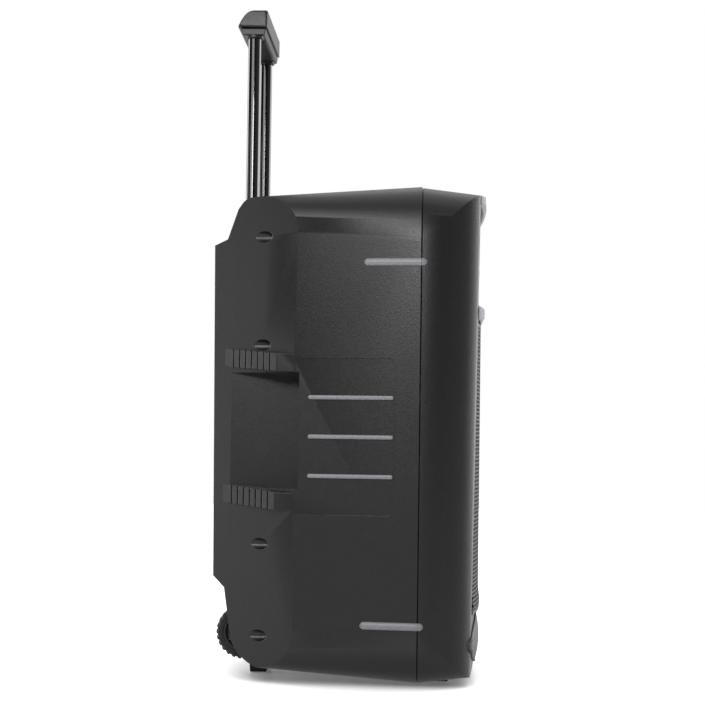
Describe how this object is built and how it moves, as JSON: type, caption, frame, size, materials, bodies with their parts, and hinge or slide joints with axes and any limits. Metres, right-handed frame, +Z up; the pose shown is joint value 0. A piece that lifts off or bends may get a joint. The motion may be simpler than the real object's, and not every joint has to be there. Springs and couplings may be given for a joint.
{
  "type": "trolley party speaker",
  "caption": "Upright moulded party speaker with a pull-up trolley handle, rear wheels, pocket side handles, a woofer and horn behind a grille, and a knob panel.",
  "frame": {"origin": "centre of the footprint on the floor, between the two sides", "axes": "+Z up, the grille faces -Y, +X is the right-hand side seen from behind"},
  "size_m": [0.418, 0.3993, 0.9787],
  "materials": {
    "shell": "grained charcoal moulding",
    "trim": "satin black moulding",
    "knob": "soft satin black",
    "grille": "powder-coated perforated steel",
    "panel_steel": "powder-coated sheet steel",
    "tube": "gloss black paint",
    "steel": "plain steel",
    "alloy": "bare extrusion",
    "rubber": "matt black",
    "tyre": "moulded tread",
    "cone": "coated black paper pulp",
    "window": "smoked clear window",
    "board": "green circuit board",
    "battery": "black battery case"
  },
  "bodies": {
    "cabinet": {"rear_housing": "shell", "front_housing": "shell", "lower_trim": "trim", "grille": "grille", "woofer_frame": "steel", "woofer_surround": "rubber", "woofer_magnet": "steel", "horn": "trim", "horn_driver": "steel", "control_panel": "trim", "display_window": "window", "jack_mic": "steel", "jack_guitar": "steel", "usb_port": "steel", "rear_panel": "panel_steel", "power_inlet": "trim", "heat_sink": "alloy", "amplifier_board": "board", "battery": "battery", "wheel_axle": "steel", "port_tube_left": "trim", "trolley_sleeve_left": "steel", "tube_collar_left": "trim", "foot_front_left": "rubber", "foot_rear_left": "rubber", "flank_screw_left_1": "steel", "flank_screw_left_2": "steel", "flank_screw_left_3": "steel", "flank_screw_left_4": "steel", "port_tube_right": "trim", "trolley_sleeve_right": "steel", "tube_collar_right": "trim", "foot_front_right": "rubber", "foot_rear_right": "rubber", "flank_screw_right_1": "steel", "flank_screw_right_2": "steel", "flank_screw_right_3": "steel", "flank_screw_right_4": "steel"},
    "trolley_handle": {"trolley_tube_left": "tube", "trolley_tube_right": "tube", "grip_shell": "shell", "grip_tray": "trim"},
    "release_key": {"release_button": "knob"},
    "wheel_left": {"tyre_left": "tyre", "wheel_hub_left": "trim"},
    "wheel_right": {"tyre_right": "tyre", "wheel_hub_right": "trim"},
    "cone_assembly": {"woofer_cone": "cone", "dust_cap": "cone"},
    "rocker": {"power_rocker": "knob"},
    "dial_volume": {"knob_volume": "knob"},
    "dial_mic": {"knob_mic": "knob"},
    "dial_echo": {"knob_echo": "knob"},
    "dial_bass": {"knob_bass": "knob"},
    "dial_treble": {"knob_treble": "knob"},
    "key_mode": {"button_mode": "knob"},
    "key_previous": {"button_previous": "knob"},
    "key_play": {"button_play": "knob"},
    "key_next": {"button_next": "knob"},
    "key_record": {"button_record": "knob"}
  },
  "joints": [
    {"name": "handle_slide", "type": "slide", "parent": "cabinet", "child": "trolley_handle", "axis": [0, 0, 1], "range_m": [-0.288, 0]},
    {"name": "release_press", "type": "slide", "parent": "trolley_handle", "child": "release_key", "axis": [0, 0, -1], "range_m": [0, 0.002], "stiffness_N_per_m": 400, "springref_m": -0.002},
    {"name": "wheel_left_spin", "type": "hinge", "parent": "cabinet", "child": "wheel_left", "pos_m": [-0.084, 0.1514, 0.064], "axis": [1, 0, 0], "continuous": true},
    {"name": "wheel_right_spin", "type": "hinge", "parent": "cabinet", "child": "wheel_right", "pos_m": [0.084, 0.1514, 0.064], "axis": [1, 0, 0], "continuous": true},
    {"name": "cone_travel", "type": "slide", "parent": "cabinet", "child": "cone_assembly", "axis": [0, -1, 0], "range_m": [-0.003, 0.003], "stiffness_N_per_m": 3000},
    {"name": "rocker_tilt", "type": "hinge", "parent": "cabinet", "child": "rocker", "pos_m": [0.012, 0.1903, 0.268], "axis": [1, 0, 0], "range_deg": [-8, 8]},
    {"name": "volume_turn", "type": "hinge", "parent": "cabinet", "child": "dial_volume", "pos_m": [0, -0.172, 0.587], "axis": [0, 1, 0], "range_deg": [-150, 150]},
    {"name": "mic_turn", "type": "hinge", "parent": "cabinet", "child": "dial_mic", "pos_m": [-0.096, -0.172, 0.587], "axis": [0, 1, 0], "range_deg": [-150, 150]},
    {"name": "echo_turn", "type": "hinge", "parent": "cabinet", "child": "dial_echo", "pos_m": [-0.06, -0.172, 0.587], "axis": [0, 1, 0], "range_deg": [-150, 150]},
    {"name": "bass_turn", "type": "hinge", "parent": "cabinet", "child": "dial_bass", "pos_m": [0.06, -0.172, 0.587], "axis": [0, 1, 0], "range_deg": [-150, 150]},
    {"name": "treble_turn", "type": "hinge", "parent": "cabinet", "child": "dial_treble", "pos_m": [0.096, -0.172, 0.587], "axis": [0, 1, 0], "range_deg": [-150, 150]},
    {"name": "mode_press", "type": "slide", "parent": "cabinet", "child": "key_mode", "axis": [0, 1, 0], "range_m": [0, 0.0012], "stiffness_N_per_m": 300, "springref_m": -0.0015},
    {"name": "previous_press", "type": "slide", "parent": "cabinet", "child": "key_previous", "axis": [0, 1, 0], "range_m": [0, 0.0012], "stiffness_N_per_m": 300, "springref_m": -0.0015},
    {"name": "play_press", "type": "slide", "parent": "cabinet", "child": "key_play", "axis": [0, 1, 0], "range_m": [0, 0.0012], "stiffness_N_per_m": 300, "springref_m": -0.0015},
    {"name": "next_press", "type": "slide", "parent": "cabinet", "child": "key_next", "axis": [0, 1, 0], "range_m": [0, 0.0012], "stiffness_N_per_m": 300, "springref_m": -0.0015},
    {"name": "record_press", "type": "slide", "parent": "cabinet", "child": "key_record", "axis": [0, 1, 0], "range_m": [0, 0.0012], "stiffness_N_per_m": 300, "springref_m": -0.0015}
  ]
}
